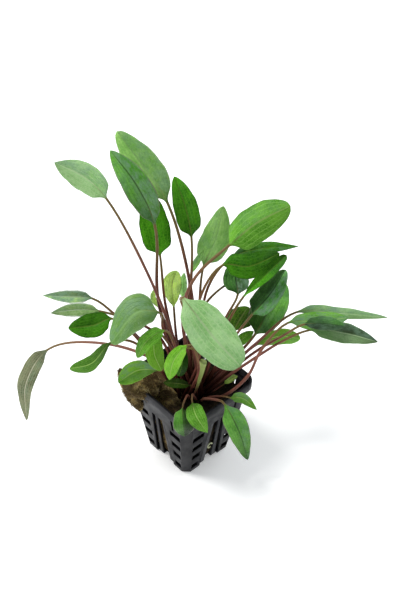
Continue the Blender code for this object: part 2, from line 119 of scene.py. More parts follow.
def makeGroup(name, inputs, outputs):
    group = bpy.data.node_groups.new(name, "ShaderNodeTree")
    for label, value in inputs.items():
        kind = "NodeSocketVector" if value is None else "NodeSocketFloat"
        socket = group.interface.new_socket(label, in_out="INPUT", socket_type=kind)
        if value is not None:
            socket.default_value = value
    for label in outputs:
        group.interface.new_socket(label, in_out="OUTPUT", socket_type="NodeSocketFloat")
    return group, addNode(group, "NodeGroupInput"), addNode(group, "NodeGroupOutput")


def useGroup(tree, group, **values):
    node = addNode(tree, "ShaderNodeGroup", node_tree=group)
    for label, value in values.items():
        plug(tree, value, node.inputs[label])
    return node


def makeVeins():
    group, given, out = makeGroup("leafVeins", {"across": 0.0, "along": 0.0, "place": None},
                                  ["veins", "midrib", "cells", "height"])
    across, along, place = [given.outputs[label] for label in ("across", "along", "place")]
    wander = mathNode(group, "MULTIPLY", mathNode(group, "SUBTRACT", noiseNode(group, place, 0.16), 0.5), 0.14)
    shifted = mathNode(group, "ADD", across, wander)
    side = mathNode(group, "ABSOLUTE", across)
    lanes = mathNode(group, "PINGPONG", mathNode(group, "MULTIPLY", shifted, 4.0), 0.5)
    parallel = rangeNode(group, lanes, 0.16, 0.02)
    slant = mathNode(group, "ADD", mathNode(group, "MULTIPLY", along, 22.0), mathNode(group, "MULTIPLY", side, -4.0))
    ribs = mathNode(group, "PINGPONG", mathNode(group, "ADD", slant, mathNode(group, "MULTIPLY", wander, 3.0)), 0.5)
    pinnate = mathNode(group, "MULTIPLY", rangeNode(group, ribs, 0.14, 0.0), 0.5)
    fade = mathNode(group, "MULTIPLY", rangeNode(group, side, 1.0, 0.8), rangeNode(group, side, 0.03, 0.12))
    veins = mathNode(group, "MULTIPLY", mathNode(group, "MAXIMUM", parallel, pinnate), fade)
    net = addNode(group, "ShaderNodeTexVoronoi", feature="DISTANCE_TO_EDGE")
    group.links.new(place, net.inputs["Vector"])
    net.inputs["Scale"].default_value = 0.62
    cells = rangeNode(group, net.outputs["Distance"], 0.03, 0.22)
    group.links.new(veins, out.inputs["veins"])
    group.links.new(rangeNode(group, side, 0.085, 0.02), out.inputs["midrib"])
    group.links.new(cells, out.inputs["cells"])
    height = mathNode(group, "ADD", mathNode(group, "SUBTRACT", 1.0, veins), mathNode(group, "MULTIPLY", cells, 0.6))
    group.links.new(height, out.inputs["height"])
    return group


def makeGrime():
    group, given, out = makeGroup("grime", {"place": None, "scale": 60.0}, ["spots", "film"])
    coarse = addNode(group, "ShaderNodeTexNoise")
    fine = addNode(group, "ShaderNodeTexNoise")
    for node, detail in ((coarse, 4.0), (fine, 2.0)):
        group.links.new(given.outputs["place"], node.inputs["Vector"])
        node.inputs["Detail"].default_value = detail
    group.links.new(given.outputs["scale"], coarse.inputs["Scale"])
    group.links.new(mathNode(group, "MULTIPLY", given.outputs["scale"], 9.0), fine.inputs["Scale"])
    group.links.new(rangeNode(group, coarse.outputs[0], 0.45, 0.68), out.inputs["film"])
    group.links.new(rangeNode(group, fine.outputs[0], 0.6, 0.72), out.inputs["spots"])
    return group


leafVeins = makeVeins()
grime = makeGrime()


# mesh helpers
def meshFrom(name, points, faces, materials, smooth=True):
    mesh = bpy.data.meshes.new(name)
    mesh.from_pydata([tuple(p) for p in points], [], faces)
    mesh.update()
    for material in materials:
        mesh.materials.append(material)
    mesh.polygons.foreach_set("use_smooth", [smooth] * len(mesh.polygons))
    piece = bpy.data.objects.new(name, mesh)
    bpy.context.collection.objects.link(piece)
    return piece


def addFloats(piece, name, values):
    piece.data.attributes.new(name, "FLOAT", "POINT").data.foreach_set("value", np.asarray(values, dtype=np.float32))


def smoothCurve(points, steps):
    points = [np.array(p, dtype=float) for p in points]
    ends = [points[0] * 2 - points[1], *points, points[-1] * 2 - points[-2]]
    curve = []
    for i in range(len(points) - 1):
        p = ends[i:i + 4]
        t = [0.0]
        for a, b in zip(p, p[1:]):
            t.append(t[-1] + math.sqrt(np.linalg.norm(b - a)))
        for step in range(steps):
            s = t[1] + (t[2] - t[1]) * step / steps
            first = [p[k] + (p[k + 1] - p[k]) * (s - t[k]) / (t[k + 1] - t[k]) for k in range(3)]
            second = [first[k] + (first[k + 1] - first[k]) * (s - t[k]) / (t[k + 2] - t[k]) for k in range(2)]
            curve.append(second[0] + (second[1] - second[0]) * (s - t[1]) / (t[2] - t[1]))
    return np.array([*curve, points[-1]])


def spread(curve, shares):
    lengths = np.concatenate([[0], np.cumsum(np.linalg.norm(np.diff(curve, axis=0), axis=1))])
    return np.stack([np.interp(np.array(shares) * lengths[-1], lengths, curve[:, k]) for k in range(3)], axis=1)


def unit(v):
    return v / np.linalg.norm(v, axis=-1, keepdims=True)


def tangents(points):
    return unit(np.gradient(points, axis=0))


def joinedRings(rings, around, firstCap=True, lastCap=True):
    faces = []
    for r in range(rings - 1):
        for k in range(around):
            a, b = r * around + k, r * around + (k + 1) % around
            faces.append((a, b, b + around, a + around))
    if firstCap:
        faces.append(tuple(range(around))[::-1])
    if lastCap:
        faces.append(tuple((rings - 1) * around + k for k in range(around)))
    return faces


# leaves
leafShape = {
    "footZ": 45.0, "sunk": 1.6, "swell": 0.3, "petioleRings": 26, "bladeRings": 46,
    "thickness": 0.16, "cup": 0.14, "bulge": 0.06, "wave": 0.16, "waves": 3.2, "ragged": 0.008,
    "groove": 0.14, "rib": 0.3,
}
topStations = [-1, -.96, -.86, -.72, -.56, -.41, -.27, -.15, -.06, 0, .06, .15, .27, .41, .56, .72, .86, .96, 1]

tones = {
    "glaucous": {"face": (0.251, 0.433, 0.180), "dark": (0.150, 0.324, 0.095), "vein": (0.341, 0.495, 0.236),
                 "rib": (0.36, 0.50, 0.26), "margin": (0.34, 0.52, 0.26), "veined": 0.45, "gloss": 0.12},
    "sage": {"face": (0.165, 0.306, 0.078), "dark": (0.083, 0.200, 0.037), "vein": (0.110, 0.223, 0.055),
             "rib": (0.20, 0.36, 0.12), "margin": (0.30, 0.42, 0.22), "veined": 0.4, "gloss": 0.11},
    "fresh": {"face": (0.128, 0.365, 0.025), "dark": (0.061, 0.229, 0.009), "vein": (0.236, 0.521, 0.081),
              "rib": (0.30, 0.48, 0.12), "margin": (0.10, 0.24, 0.03), "veined": 0.55, "gloss": 0.1},
    "lime": {"face": (0.203, 0.491, 0.029), "dark": (0.115, 0.358, 0.012), "vein": (0.291, 0.593, 0.080),
             "rib": (0.36, 0.56, 0.14), "margin": (0.22, 0.42, 0.06), "veined": 0.45, "gloss": 0.07},
    "mid": {"face": (0.081, 0.225, 0.029), "dark": (0.030, 0.120, 0.008), "vein": (0.030, 0.105, 0.010),
            "rib": (0.025, 0.055, 0.012), "margin": (0.19, 0.15, 0.13), "veined": 0.5, "gloss": 0.11},
    "deep": {"face": (0.039, 0.175, 0.005), "dark": (0.013, 0.088, 0.001), "vein": (0.082, 0.258, 0.012),
             "rib": (0.09, 0.17, 0.02), "margin": (0.030, 0.080, 0.008), "veined": 0.35, "gloss": 0.06},
    "steel": {"face": (0.046, 0.137, 0.026), "dark": (0.012, 0.057, 0.005), "vein": (0.009, 0.043, 0.004),
              "rib": (0.010, 0.030, 0.006), "margin": (0.12, 0.19, 0.08), "veined": 0.55, "gloss": 0.15},
    "olive": {"face": (0.045, 0.125, 0.006), "dark": (0.014, 0.044, 0.001), "vein": (0.089, 0.185, 0.015),
              "rib": (0.12, 0.15, 0.04), "margin": (0.030, 0.050, 0.008), "veined": 0.4, "gloss": 0.07},
    "yellowing": {"face": (0.176, 0.263, 0.050), "dark": (0.083, 0.158, 0.015), "vein": (0.270, 0.337, 0.099),
                  "rib": (0.26, 0.30, 0.10), "margin": (0.12, 0.14, 0.03), "veined": 0.4, "gloss": 0.12},
    "rolled": {"face": (0.133, 0.231, 0.069), "dark": (0.067, 0.148, 0.035), "vein": (0.222, 0.277, 0.129),
               "rib": (0.36, 0.42, 0.30), "margin": (0.62, 0.66, 0.60), "veined": 0.45, "gloss": 0.15, "rim": 0.8},
    "wilted": {"face": (0.229, 0.263, 0.123), "dark": (0.087, 0.114, 0.038), "vein": (0.480, 0.437, 0.283),
               "rib": (0.56, 0.54, 0.40), "margin": (0.30, 0.31, 0.20), "veined": 0.6, "gloss": 0.17},
}

# pale blue-grey of a waxy bloom, also used as a painted sheen where light glances off the leaves
bloomAndSheenColour = (0.170, 0.300, 0.190)
# the foot colour is near-black painted shade at the petiole base inside the crown
petioleTones = {"foot": (0.022, 0.005, 0.003), "shaft": (0.085, 0.024, 0.016), "high": (0.250, 0.085, 0.062),
                "neck": (0.150, 0.130, 0.040), "blush": (0.340, 0.150, 0.110)}


def makeLeafMaterial(toneName):
    tone = tones[toneName]
    material, tree, shader = newMaterial("leaf_" + toneName)
    labels = ("across", "along", "stalk", "toneAndPaintedShade", "bloomAndPaintedSheen", "under", "blush", "sideways", "lengthways", "own")
    across, along, stalk, toneAndPaintedShade, bloomAndPaintedSheen, under, blush, sideways, lengthways, own = [attribute(tree, name) for name in labels]
    flat = addNode(tree, "ShaderNodeCombineXYZ")
    for value, socket in zip((sideways, lengthways, own), flat.inputs):
        plug(tree, value, socket)
    place = flat.outputs[0]
    veins = useGroup(tree, leafVeins, across=across, along=along, place=place)
    blotch = rangeNode(tree, noiseNode(tree, place, 0.13, 5.0, 0.68, stretch=(1.0, 0.55, 1.0)), 0.38, 0.62)
    face = mixNode(tree, blotch, (*tone["dark"], 1), (*tone["face"], 1))
    specks = rangeNode(tree, noiseNode(tree, place, 0.75, 3.0, 0.65, stretch=(1.0, 0.4, 1.0)), 0.56, 0.68)
    face = mixNode(tree, mathNode(tree, "MULTIPLY", specks, 0.6), face, (*tone["dark"], 1))
    net = mathNode(tree, "MULTIPLY", mathNode(tree, "SUBTRACT", 1.0, veins.outputs["cells"]), 0.22)
    face = mixNode(tree, net, face, (*tone["vein"], 1))
    face = mixNode(tree, mathNode(tree, "MULTIPLY", veins.outputs["veins"], tone["veined"]), face, (*tone["vein"], 1))
    # painted light and shade: the per-leaf brightness attribute multiplies the face colour; it is partly the leaf's
    # own tone and partly light and shade painted on its halves, base and tip
    toneAndPaintedShadeTint = addNode(tree, "ShaderNodeCombineColor")
    for socket in toneAndPaintedShadeTint.inputs[:3]:
        plug(tree, toneAndPaintedShade, socket)
    face = mixNode(tree, 1.0, face, toneAndPaintedShadeTint.outputs[0], "MULTIPLY")
    # waxy bloom with painted sheen: a noise film mixes the leaf colour towards pale blue-grey by each half's bloom
    # amount
    film = rangeNode(tree, noiseNode(tree, place, 0.24, 5.0, 0.72, stretch=(1.0, 0.6, 1.0)), 0.36, 0.64)
    face = mixNode(tree, mathNode(tree, "MULTIPLY", mathNode(tree, "MULTIPLY", film, bloomAndPaintedSheen), 0.95), face, (*bloomAndSheenColour, 1))
    pale = mixNode(tree, 0.5, face, (*tone["vein"], 1))
    face = mixNode(tree, mathNode(tree, "MULTIPLY", under, 0.5), face, pale)
    neckGlow = rangeNode(tree, along, 0.35, 0.0)
    ribColour = mixNode(tree, neckGlow, (*tone["rib"], 1), (*petioleTones["neck"], 1))
    face = mixNode(tree, mathNode(tree, "MULTIPLY", veins.outputs["midrib"], 0.75), face, ribColour)
    edge = rangeNode(tree, mathNode(tree, "ABSOLUTE", across), tone.get("rim", 0.9), tone.get("rim", 0.9) + 0.08)
    edgeNoise = rangeNode(tree, noiseNode(tree, place, 0.3), 0.3, 0.55, 0.25, 1.0)
    edge = mathNode(tree, "MULTIPLY", mathNode(tree, "MULTIPLY", edge, edgeNoise), 0.75)
    face = mixNode(tree, edge, face, (*tone["margin"], 1))
    # paler pink streaks along the petiole, partly its own colour and partly a painted highlight
    streak = rangeNode(tree, noiseNode(tree, place, 1.6, 3.0, 0.6, stretch=(1.0, 0.06, 1.0)), 0.36, 0.66)
    shaft = mixNode(tree, streak, (*petioleTones["shaft"], 1), (*petioleTones["high"], 1))
    shaft = mixNode(tree, blush, shaft, (*petioleTones["blush"], 1))
    # painted shade: the petiole darkens to near-black towards its foot in the crown
    shaft = mixNode(tree, rangeNode(tree, stalk, 0.03, 0.42), (*petioleTones["foot"], 1), shaft)
    shaft = mixNode(tree, mathNode(tree, "MULTIPLY", rangeNode(tree, stalk, 0.62, 1.0), 0.75), shaft, (*petioleTones["neck"], 1))
    onBlade = rangeNode(tree, along, -0.02, 0.06)
    plug(tree, mixNode(tree, onBlade, shaft, face), shader.inputs["Base Color"])
    gloss = rangeNode(tree, noiseNode(tree, place, 0.2), 0.3, 0.7, 0.27, 0.46)
    plug(tree, gloss, shader.inputs["Roughness"])
    shader.inputs["Specular IOR Level"].default_value = tone["gloss"]
    relief = mathNode(tree, "ADD", veins.outputs["height"], mathNode(tree, "MULTIPLY", noiseNode(tree, place, 0.55, 4.0), 1.0))
    plug(tree, bumpNode(tree, mathNode(tree, "MULTIPLY", relief, onBlade), 0.7, 0.00018), shader.inputs["Normal"])
    return material


leafMaterials = {name: makeLeafMaterial(name) for name in tones}


# each leaf's pair of half brightnesses and pair of base-to-tip brightnesses are partly its own tone and partly
# painted light and shade on its left and right halves, base and tip
leaves = [
    {"name": "leaf_01", "foot": (2, 0), "knees": [(-14, -14, 118)],
     "blade": [(-34.5, -24.5, 163), (-46.5, -27.5, 170), (-61, -34.5, 174.5)], "width": 14, "roll": -30,
     "sharp": (0.45, 0.8), "skew": 0.9, "stalk": 0.6,
     "tone": "glaucous", "halvesToneAndPaintedShade": (1.05, 1.25), "ends": (1.15, 0.85), "bloomAndPaintedSheen": (0, 0.6), "blush": 0.3},
    {"name": "leaf_02", "foot": (2, 2.5), "knees": [(-6, 5, 108)],
     "blade": [(-25.5, 6, 151.5), (-43.5, 5, 165.5), (-58, 1, 179.5)], "width": 17, "roll": -30,
     "sharp": (0.95, 0.55), "skew": 0.85, "stalk": 0.7,
     "tone": "sage", "halvesToneAndPaintedShade": (1.6, 1.55), "ends": (0.5, 1.6), "bloomAndPaintedSheen": (0, 0.5)},
    {"name": "leaf_03", "foot": (0, -1.5), "knees": [(-13, -11, 105)],
     "blade": [(-19, -8, 148.5), (-28, -11.5, 168.5), (-42, -15.5, 182.5)], "width": 13.5, "roll": -50,
     "sharp": (0.65, 0.65), "skew": 0.9, "stalk": 0.7,
     "tone": "mid", "halvesToneAndPaintedShade": (1.55, 1.6), "ends": (0.5, 1.6), "bloomAndPaintedSheen": (0.35, 0.75)},
    {"name": "leaf_04", "foot": (-2, 0), "knees": [(-18, -2, 95)],
     "blade": [(-28, 3, 119), (-35, 5, 134), (-41.5, 7, 148.5)], "width": 15.5, "roll": -15,
     "sharp": (0.5, 0.4), "skew": 0.8, "stalk": 0.6,
     "tone": "deep", "halvesToneAndPaintedShade": (1.6, 1.45), "ends": (1.2, 0.95), "bloomAndPaintedSheen": (0, 0)},
    {"name": "leaf_05", "foot": (0, 1), "knees": [(-3, 2, 107)],
     "blade": [(-10, 8, 138.5), (-16, 9, 153), (-21.5, 6.5, 169)], "width": 12.5, "roll": -30,
     "sharp": (0.5, 0.6), "skew": 0.75, "stalk": 0.6,
     "tone": "deep", "halvesToneAndPaintedShade": (1.35, 1.75), "ends": (0.55, 1.35), "bloomAndPaintedSheen": (0, 0.05)},
    {"name": "leaf_06", "foot": (-0.5, 3.5), "knees": [(-4, 9, 94)],
     "blade": [(-9.5, 16.5, 116), (-13.5, 28.5, 125), (-18, 37.5, 140)], "width": 16, "roll": 10,
     "sharp": (0.85, 0.65), "skew": 0.75, "stalk": 0.6,
     "tone": "sage", "halvesToneAndPaintedShade": (1.75, 1.25), "ends": (1.05, 1.1), "bloomAndPaintedSheen": (0.3, 0.05)},
    {"name": "leaf_07", "foot": (4, 1.5), "knees": [(1, -7, 105), (6, -3, 130)],
     "blade": [(11, 13, 143), (13.5, 29, 150.5), (18, 47.5, 154.5)], "width": 18.5, "roll": 60,
     "sharp": (0.3, 0.5), "skew": 0.85, "stalk": 0.7,
     "tone": "fresh", "halvesToneAndPaintedShade": (1.45, 0.85), "ends": (1.1, 0.9), "bloomAndPaintedSheen": (0.3, 0), "blush": 0.3},
    {"name": "leaf_08", "foot": (1.5, 5), "knees": [(-1, 12, 110)],
     "blade": [(3.5, 22.5, 126), (7.5, 39.5, 126), (17.5, 58.5, 124)], "width": 7, "roll": 35,
     "sharp": (0.7, 0.9), "skew": 0.8, "stalk": 0.6,
     "tone": "deep", "halvesToneAndPaintedShade": (0.95, 0.85), "ends": (0.5, 1.6), "bloomAndPaintedSheen": (0.2, 0.3)},
    {"name": "leaf_09", "foot": (4.5, 4), "knees": [(3, 3, 111)],
     "blade": [(4, 16.5, 125), (12, 27.5, 123.5), (18.5, 42.5, 128)], "width": 13, "roll": 45,
     "sharp": (0.3, 0.6), "skew": 0.85, "stalk": 0.6,
     "tone": "deep", "halvesToneAndPaintedShade": (1, 0.8), "ends": (1.6, 0.5), "bloomAndPaintedSheen": (0.05, 0)},
    {"name": "leaf_10", "foot": (6, 0.5), "knees": [(12, 11, 87)],
     "blade": [(19, 17.5, 113.5), (23, 27, 124), (26, 39, 133)], "width": 6.5, "roll": 40,
     "sharp": (0.6, 0.4), "skew": 1.4, "stalk": 0.6,
     "tone": "deep", "halvesToneAndPaintedShade": (0.9, 1.9), "ends": (1.6, 0.5), "bloomAndPaintedSheen": (0, 0.1)},
    {"name": "leaf_11", "foot": (3.5, 6), "knees": [(8, 17, 92)],
     "blade": [(7.5, 25.5, 103), (0.5, 30.5, 108), (-3, 36, 114)], "width": 13.5, "roll": 0,
     "sharp": (0.55, 0.6), "skew": 0.8, "stalk": 0.6,
     "tone": "steel", "halvesToneAndPaintedShade": (2.2, 1.2), "ends": (0.5, 1.6), "bloomAndPaintedSheen": (0, 0.65)},
    {"name": "leaf_12", "foot": (-2.5, 6), "knees": [(-5, 11, 91)],
     "blade": [(-3, 25, 102), (-2, 33, 101), (1, 40, 99)], "width": 4.5, "roll": 40,
     "sharp": (0.8, 0.8), "skew": 0.9, "stalk": 0.6,
     "tone": "steel", "halvesToneAndPaintedShade": (2, 2), "ends": (0.7, 1.1), "bloomAndPaintedSheen": (0.6, 0.6)},
    {"name": "leaf_13", "foot": (5.5, 7), "knees": [(11, 15, 72)],
     "blade": [(18.5, 25.5, 96.5), (21, 36, 107), (20, 47, 116)], "width": 13, "roll": 20,
     "sharp": (0.45, 0.5), "skew": 0.7, "stalk": 0.6,
     "tone": "steel", "halvesToneAndPaintedShade": (0.55, 2.6), "ends": (1.6, 1.6), "bloomAndPaintedSheen": (0, 1)},
    {"name": "leaf_14", "foot": (4, 10.5), "knees": [(9, 25, 59)],
     "blade": [(13, 35.5, 72.5), (10, 49.5, 82.5), (10, 61, 93)], "width": 19.5, "roll": 15,
     "sharp": (0.4, 0.65), "skew": 0.95, "stalk": 0.7,
     "tone": "mid", "halvesToneAndPaintedShade": (0.9, 1.8), "ends": (0.5, 1.3), "bloomAndPaintedSheen": (0, 0.25)},
    {"name": "leaf_15", "foot": (2.5, 8), "knees": [(6, 17, 61)],
     "blade": [(3, 29, 72), (0.5, 35.5, 74), (-2, 45, 77.5)], "width": 15.5, "roll": 0,
     "sharp": (0.8, 0.6), "skew": 0.9, "stalk": 0.6,
     "tone": "olive", "halvesToneAndPaintedShade": (1.5, 1.15), "ends": (1.2, 0.8), "bloomAndPaintedSheen": (0, 0)},
    {"name": "leaf_16", "foot": (-0.5, 7), "knees": [(5, 20, 53)],
     "blade": [(6, 28, 63), (7, 33, 67), (8, 40, 69)], "width": 6, "roll": 35,
     "sharp": (0.7, 0.7), "skew": 0.9, "stalk": 0.4,
     "tone": "fresh", "halvesToneAndPaintedShade": (1.2, 1), "ends": (1, 1), "bloomAndPaintedSheen": (0, 0)},
    {"name": "leaf_17", "foot": (8, 6), "knees": [(14, 21, 62)],
     "blade": [(18.5, 31, 71.5), (22, 44.5, 72), (26.5, 58.5, 65)], "width": 9, "roll": 65,
     "sharp": (0.5, 0.55), "skew": 1.1, "stalk": 0.6,
     "tone": "lime", "halvesToneAndPaintedShade": (0.65, 1), "ends": (0.65, 1.15), "bloomAndPaintedSheen": (0, 0.2)},
    {"name": "leaf_18", "foot": (6.5, 3), "knees": [(20, 29, 75)],
     "blade": [(30.5, 46.5, 94), (45.5, 63.5, 93.5), (62.5, 84, 90)], "width": 7, "roll": 30,
     "sharp": (0.75, 0.7), "skew": 0.65, "stalk": 0.6,
     "tone": "glaucous", "halvesToneAndPaintedShade": (1.2, 0.8), "ends": (0.85, 1.1), "bloomAndPaintedSheen": (0.8, 0), "blush": 0.3},
    {"name": "leaf_19", "foot": (11, 2.5), "knees": [(21, 4, 52), (30, 13, 68), (32.5, 19.5, 85.5)],
     "blade": [(36.5, 33, 98.5), (47, 44.5, 100), (57.5, 55, 103.5)], "width": 10, "roll": 30,
     "sharp": (0.8, 0.65), "skew": 0.95, "stalk": 0.6,
     "tone": "fresh", "halvesToneAndPaintedShade": (1.05, 0.7), "ends": (1, 1), "bloomAndPaintedSheen": (0.8, 0.5), "blush": 0.3},
    {"name": "leaf_20", "foot": (6.5, 9.5), "knees": [(20.5, 28, 69.5), (36, 31.5, 90.5)],
     "blade": [(45.5, 35, 102.5), (52, 42.5, 103), (60, 49, 103)], "width": 8, "roll": 25,
     "sharp": (0.5, 0.55), "skew": 1.0, "stalk": 0.6,
     "tone": "steel", "halvesToneAndPaintedShade": (1.3, 0.4), "ends": (0.5, 1.6), "bloomAndPaintedSheen": (0.25, 0.3)},
    {"name": "leaf_21", "foot": (9, 3.5), "knees": [(20, 18, 64)],
     "blade": [(43, 43, 92), (58, 54, 93.5), (71, 65, 90)], "width": 11.5, "roll": 30,
     "sharp": (0.8, 0.75), "skew": 0.8, "stalk": 0.6,
     "tone": "glaucous", "halvesToneAndPaintedShade": (0.2, 0.7), "ends": (1.6, 0.5), "bloomAndPaintedSheen": (0.6, 0), "blush": 0.3},
    {"name": "leaf_22", "foot": (9, 1), "knees": [(6, -3, 81), (16, -19, 123)],
     "blade": [(23.5, -27.5, 140), (40.5, -24.5, 127), (54.5, -20, 115.5)], "width": 20, "roll": 30,
     "sharp": (0.5, 0.4), "skew": 1.05, "stalk": 1.15,
     "tone": "glaucous", "halvesToneAndPaintedShade": (1.35, 1.25), "ends": (1.1, 0.95), "bloomAndPaintedSheen": (0.2, 0.2), "blush": 0.35},
    {"name": "leaf_23", "foot": (2.5, -2.5), "knees": [(-6, -14, 93)],
     "blade": [(1.5, -23, 114.5), (-3.5, -32.5, 117), (-8.5, -45.5, 101)], "width": 19, "roll": -20,
     "sharp": (0.95, 0.5), "skew": 0.7, "stalk": 0.6,
     "tone": "sage", "halvesToneAndPaintedShade": (0.95, 1.3), "ends": (0.65, 1.2), "bloomAndPaintedSheen": (0.25, 0.65)},
    {"name": "leaf_24", "foot": (-3, -2.5), "knees": [(-17, -14, 71), (-32, -26, 94)],
     "blade": [(-39, -33, 103), (-50, -40.5, 101.5), (-61, -49, 100)], "width": 7, "roll": -45,
     "sharp": (0.7, 0.85), "skew": 0.75, "stalk": 0.6,
     "tone": "rolled", "halvesToneAndPaintedShade": (2.6, 1.05), "ends": (0.5, 1.6), "bloomAndPaintedSheen": (1, 0.9)},
    {"name": "leaf_25", "foot": (-2, -4.5), "knees": [(-8, -12, 81), (-12, -19, 93)],
     "blade": [(-29.5, -36, 102.5), (-38.5, -45, 102.5), (-47, -54, 100)], "width": 7.5, "roll": -35,
     "sharp": (0.7, 0.8), "skew": 0.85, "stalk": 0.6,
     "tone": "rolled", "halvesToneAndPaintedShade": (1.45, 1.5), "ends": (1.25, 0.8), "bloomAndPaintedSheen": (0.05, 0.4)},
    {"name": "leaf_26", "foot": (0.5, -4), "knees": [(-10, -22, 82)],
     "blade": [(-20, -35.5, 103.5), (-25, -43.5, 100.5), (-32, -54, 100)], "width": 12.5, "roll": -45,
     "sharp": (0.6, 0.65), "skew": 0.9, "stalk": 0.6,
     "tone": "deep", "halvesToneAndPaintedShade": (1.05, 0.85), "ends": (0.95, 1.05), "bloomAndPaintedSheen": (0, 0)},
    {"name": "leaf_27", "foot": (4, -1), "knees": [(3, -13, 85)],
     "blade": [(6, -24, 106.5), (5.5, -34.5, 105.5), (4, -39.5, 96.5)], "width": 7.5, "roll": -35,
     "sharp": (0.55, 0.55), "skew": 0.8, "stalk": 0.6,
     "tone": "fresh", "halvesToneAndPaintedShade": (1.3, 1.3), "ends": (1.25, 0.75), "bloomAndPaintedSheen": (0, 0.1)},
    {"name": "leaf_28", "foot": (2, -6), "knees": [(1, -11, 77)],
     "blade": [(-1.5, -22.5, 99), (1.5, -26.5, 90), (6.5, -26, 80.5)], "width": 9.5, "roll": 0,
     "sharp": (0.6, 0.55), "skew": 0.95, "stalk": 0.6,
     "tone": "lime", "halvesToneAndPaintedShade": (0.85, 1.05), "ends": (1.15, 0.7), "bloomAndPaintedSheen": (0.05, 0)},
    {"name": "leaf_29", "foot": (4, -4.5), "knees": [(20, -13, 86), (17, -15, 99)],
     "blade": [(15.5, -17, 99), (16, -26, 95), (16.5, -29.5, 84)], "width": 8, "roll": -40,
     "sharp": (0.55, 0.75), "skew": 1.0, "stalk": 0.6,
     "tone": "lime", "halvesToneAndPaintedShade": (1.15, 1.25), "ends": (1, 1.05), "bloomAndPaintedSheen": (0.1, 0.1)},
    {"name": "leaf_30", "foot": (1, -8.5), "knees": [(-1, -11, 64)],
     "blade": [(-2.5, -20.5, 70.5), (-10, -27.5, 69.5), (-15.5, -37, 62.5)], "width": 11, "roll": -40,
     "sharp": (0.9, 0.55), "skew": 1.15, "stalk": 0.6,
     "tone": "lime", "halvesToneAndPaintedShade": (0.7, 0.95), "ends": (0.5, 1.35), "bloomAndPaintedSheen": (0.2, 0.7)},
    {"name": "leaf_31", "foot": (3.5, -8.5), "knees": [(9, -3, 73), (16, -11, 92)],
     "blade": [(11, -13.5, 91.5), (13, -18, 83.5), (11.5, -18.5, 75.5)], "width": 6, "roll": -30,
     "sharp": (0.6, 0.45), "skew": 1.05, "stalk": 0.5,
     "tone": "deep", "halvesToneAndPaintedShade": (0.25, 0.6), "ends": (0.5, 1.6), "bloomAndPaintedSheen": (0, 0)},
    {"name": "leaf_32", "foot": (8, -1), "knees": [(7, -2, 52)],
     "blade": [(8, -7, 58), (4.5, -12.5, 60.5), (-3.5, -16, 57.5)], "width": 5.5, "roll": -30,
     "sharp": (0.7, 0.7), "skew": 1.0, "stalk": 0.4,
     "tone": "olive", "halvesToneAndPaintedShade": (0.65, 0.4), "ends": (0.5, 1.3), "bloomAndPaintedSheen": (0, 0)},
    {"name": "leaf_33", "foot": (6.5, -5.5), "knees": [(13, -14, 59)],
     "blade": [(19.5, -23, 61.5), (26.5, -28.5, 60.5), (26, -27, 48)], "width": 10.5, "roll": 10,
     "sharp": (0.75, 0.7), "skew": 0.9, "stalk": 0.4,
     "tone": "mid", "halvesToneAndPaintedShade": (0.2, 1.25), "ends": (1.6, 0.5), "bloomAndPaintedSheen": (0, 0.05), "blush": 0.3},
    {"name": "leaf_34", "foot": (9.5, -3.5), "knees": [(17, -14, 63)],
     "blade": [(22.5, -19, 65), (32.5, -25, 66.5), (38.5, -23, 58.5)], "width": 9.5, "roll": 20,
     "sharp": (0.75, 0.85), "skew": 0.9, "stalk": 0.4,
     "tone": "fresh", "halvesToneAndPaintedShade": (0.85, 0.8), "ends": (0.85, 1.2), "bloomAndPaintedSheen": (0, 0), "blush": 0.4},
    {"name": "leaf_35", "foot": (11.5, -2.5), "knees": [(16, -4, 52), (24, -2, 56)],
     "blade": [(30, -3.5, 59.5), (38, 0, 44), (41, 7, 15.5)], "width": 12, "roll": 65,
     "sharp": (0.85, 0.65), "skew": 0.6, "stalk": 0.6,
     "tone": "mid", "halvesToneAndPaintedShade": (1.85, 1.7), "ends": (1.4, 0.5), "bloomAndPaintedSheen": (0.45, 0.05), "blush": 0.6},
    {"name": "leaf_36", "foot": (11.5, 0), "knees": [(16, 1, 50), (25, 3, 56)],
     "blade": [(27, 4, 56), (32, 8, 57), (38, 14, 48.5)], "width": 5.5, "roll": 45,
     "sharp": (0.75, 0.8), "skew": 0.65, "stalk": 0.4,
     "tone": "lime", "halvesToneAndPaintedShade": (0.8, 0.75), "ends": (0.7, 1.15), "bloomAndPaintedSheen": (0.55, 0.3), "blush": 0.4},
    {"name": "leaf_37", "foot": (10.5, 6.5), "knees": [(11, 9, 46)],
     "blade": [(13, 14, 49), (13, 18, 50), (15, 22, 51)], "width": 4.5, "roll": 25,
     "sharp": (0.7, 0.7), "skew": 0.9, "stalk": 0.4,
     "tone": "yellowing", "halvesToneAndPaintedShade": (2.6, 2.6), "ends": (1.2, 0.9), "bloomAndPaintedSheen": (0.3, 0)},
    {"name": "leaf_38", "foot": (-5, 1), "knees": [(-12, 1, 71)],
     "blade": [(-17, 3, 91), (-23.5, 7.5, 100.5), (-25, 12, 106.5)], "width": 10, "roll": 5,
     "sharp": (0.6, 0.55), "skew": 1.35, "stalk": 0.6,
     "tone": "yellowing", "halvesToneAndPaintedShade": (2.45, 2.6), "ends": (1.45, 1.6), "bloomAndPaintedSheen": (0.3, 0.4)},
    {"name": "leaf_39", "foot": (-4.5, 4), "knees": [(-12, 6, 73)],
     "blade": [(-18, 10.5, 92.5), (-21, 13, 99), (-22.5, 15, 105)], "width": 4.5, "roll": -5,
     "sharp": (0.6, 0.6), "skew": 0.9, "stalk": 0.5,
     "tone": "glaucous", "halvesToneAndPaintedShade": (2.6, 1.6), "ends": (1.45, 1.45), "bloomAndPaintedSheen": (0.4, 0.4)},
    {"name": "leaf_40", "foot": (-5.5, -1.5), "knees": [(-10, -6, 82)],
